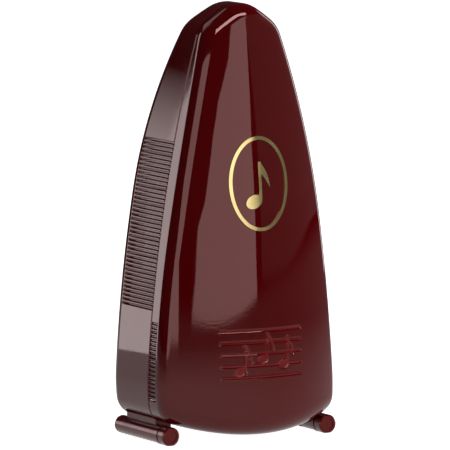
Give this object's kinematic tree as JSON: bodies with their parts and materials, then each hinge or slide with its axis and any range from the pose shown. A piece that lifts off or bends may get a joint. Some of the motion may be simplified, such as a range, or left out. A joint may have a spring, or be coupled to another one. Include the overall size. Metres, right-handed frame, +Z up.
{
  "type": "metronome",
  "caption": "Pocket wind-up pendulum metronome: tapered gloss case with lift-off front cover, round foot bars, clockwork movement, sliding tempo weight and folding winding key.",
  "frame": {"origin": "on the floor, at the centre of the bounding box seen from above", "axes": "+Z up, front cover faces -Y, +X to the right seen from the front"},
  "size_m": [0.0738, 0.0521, 0.1602],
  "materials": {
    "case_plastic": "glossy dark red moulding",
    "foot_plastic": "satin-gloss dark red moulding",
    "badge_brass": "polished pale gold",
    "panel_plastic": "fine matt black",
    "scale_aluminium": "satin anodised, printed",
    "brass": "brushed clock brass",
    "steel": "bright turned steel",
    "lead_weight": "dull grey metal",
    "weight_metal": "satin plated"
  },
  "bodies": {
    "case": {"rear_case": "case_plastic", "left_foot_bar": "foot_plastic", "right_foot_bar": "foot_plastic", "foot_screws": "steel", "front_panel": "panel_plastic", "panel_screws": "steel", "scale_plate": "scale_aluminium", "scale_screws": "steel", "rod_rest": "panel_plastic", "movement_front_plate": "brass", "movement_rear_plate": "brass", "movement_pillars": "steel", "front_plate_bushes": "brass", "rear_plate_bushes": "brass", "movement_mount_screws": "steel", "rear_plate_screws": "steel", "click_stud": "steel", "click_spring": "steel"},
    "cover": {"front_cover": "case_plastic", "badge_ring": "badge_brass", "badge_note": "badge_brass"},
    "winding": {"winding_arbor": "steel", "ratchet_wheel": "steel", "key_hub": "steel", "key_hinge_pin": "steel"},
    "wing": {"key_wing": "steel"},
    "click": {"click_lever": "steel"},
    "barrel": {"great_wheel": "brass", "barrel_drum": "brass", "barrel_lid": "brass", "mainspring": "steel"},
    "second": {"second_arbor": "steel", "second_wheel": "brass"},
    "escape": {"escape_arbor": "steel", "escape_wheel": "brass"},
    "pendulum": {"pallet_anchor": "steel", "pendulum_arbor": "steel", "pendulum_hub": "brass", "pendulum_rod": "steel", "hub_screw": "steel", "counterweight": "lead_weight", "counterweight_rivet": "steel"},
    "tempo": {"tempo_weight": "weight_metal", "weight_spring": "steel"}
  },
  "joints": [
    {"name": "cover_off", "type": "slide", "parent": "case", "child": "cover", "axis": [0, -1, 0], "range_m": [0, 0.06]},
    {"name": "pendulum_swing", "type": "hinge", "parent": "case", "child": "pendulum", "pos_m": [0, 0, 0.055], "axis": [0, 1, 0], "range_deg": [-8, 8]},
    {"name": "weight_slide", "type": "slide", "parent": "pendulum", "child": "tempo", "axis": [0, 0, 1], "range_m": [-0.038, 0.022]},
    {"name": "key_turn", "type": "hinge", "parent": "case", "child": "winding", "pos_m": [0, 0, 0.0247], "axis": [0, 1, 0], "continuous": true},
    {"name": "key_fold", "type": "hinge", "parent": "winding", "child": "wing", "pos_m": [0, 0.0245, 0.0247], "axis": [1, 0, 0], "range_deg": [0, 90]},
    {"name": "click_lift", "type": "hinge", "parent": "case", "child": "click", "pos_m": [-0.0115, 0, 0.018], "axis": [0, 1, 0], "range_deg": [-6, 0], "stiffness_Nm_per_rad": 0.004},
    {"name": "barrel_turn", "type": "hinge", "parent": "case", "child": "barrel", "pos_m": [0, 0, 0.0247], "axis": [0, 1, 0], "continuous": true},
    {"name": "second_turn", "type": "hinge", "parent": "case", "child": "second", "pos_m": [0.012, 0, 0.03467], "axis": [0, 1, 0], "continuous": true},
    {"name": "escape_turn", "type": "hinge", "parent": "case", "child": "escape", "pos_m": [0, 0, 0.04298], "axis": [0, 1, 0], "continuous": true}
  ],
  "couplings": [
    {"joint": "second_turn", "follows": "barrel_turn", "ratio": -5.2},
    {"joint": "escape_turn", "follows": "barrel_turn", "ratio": 32.5}
  ]
}
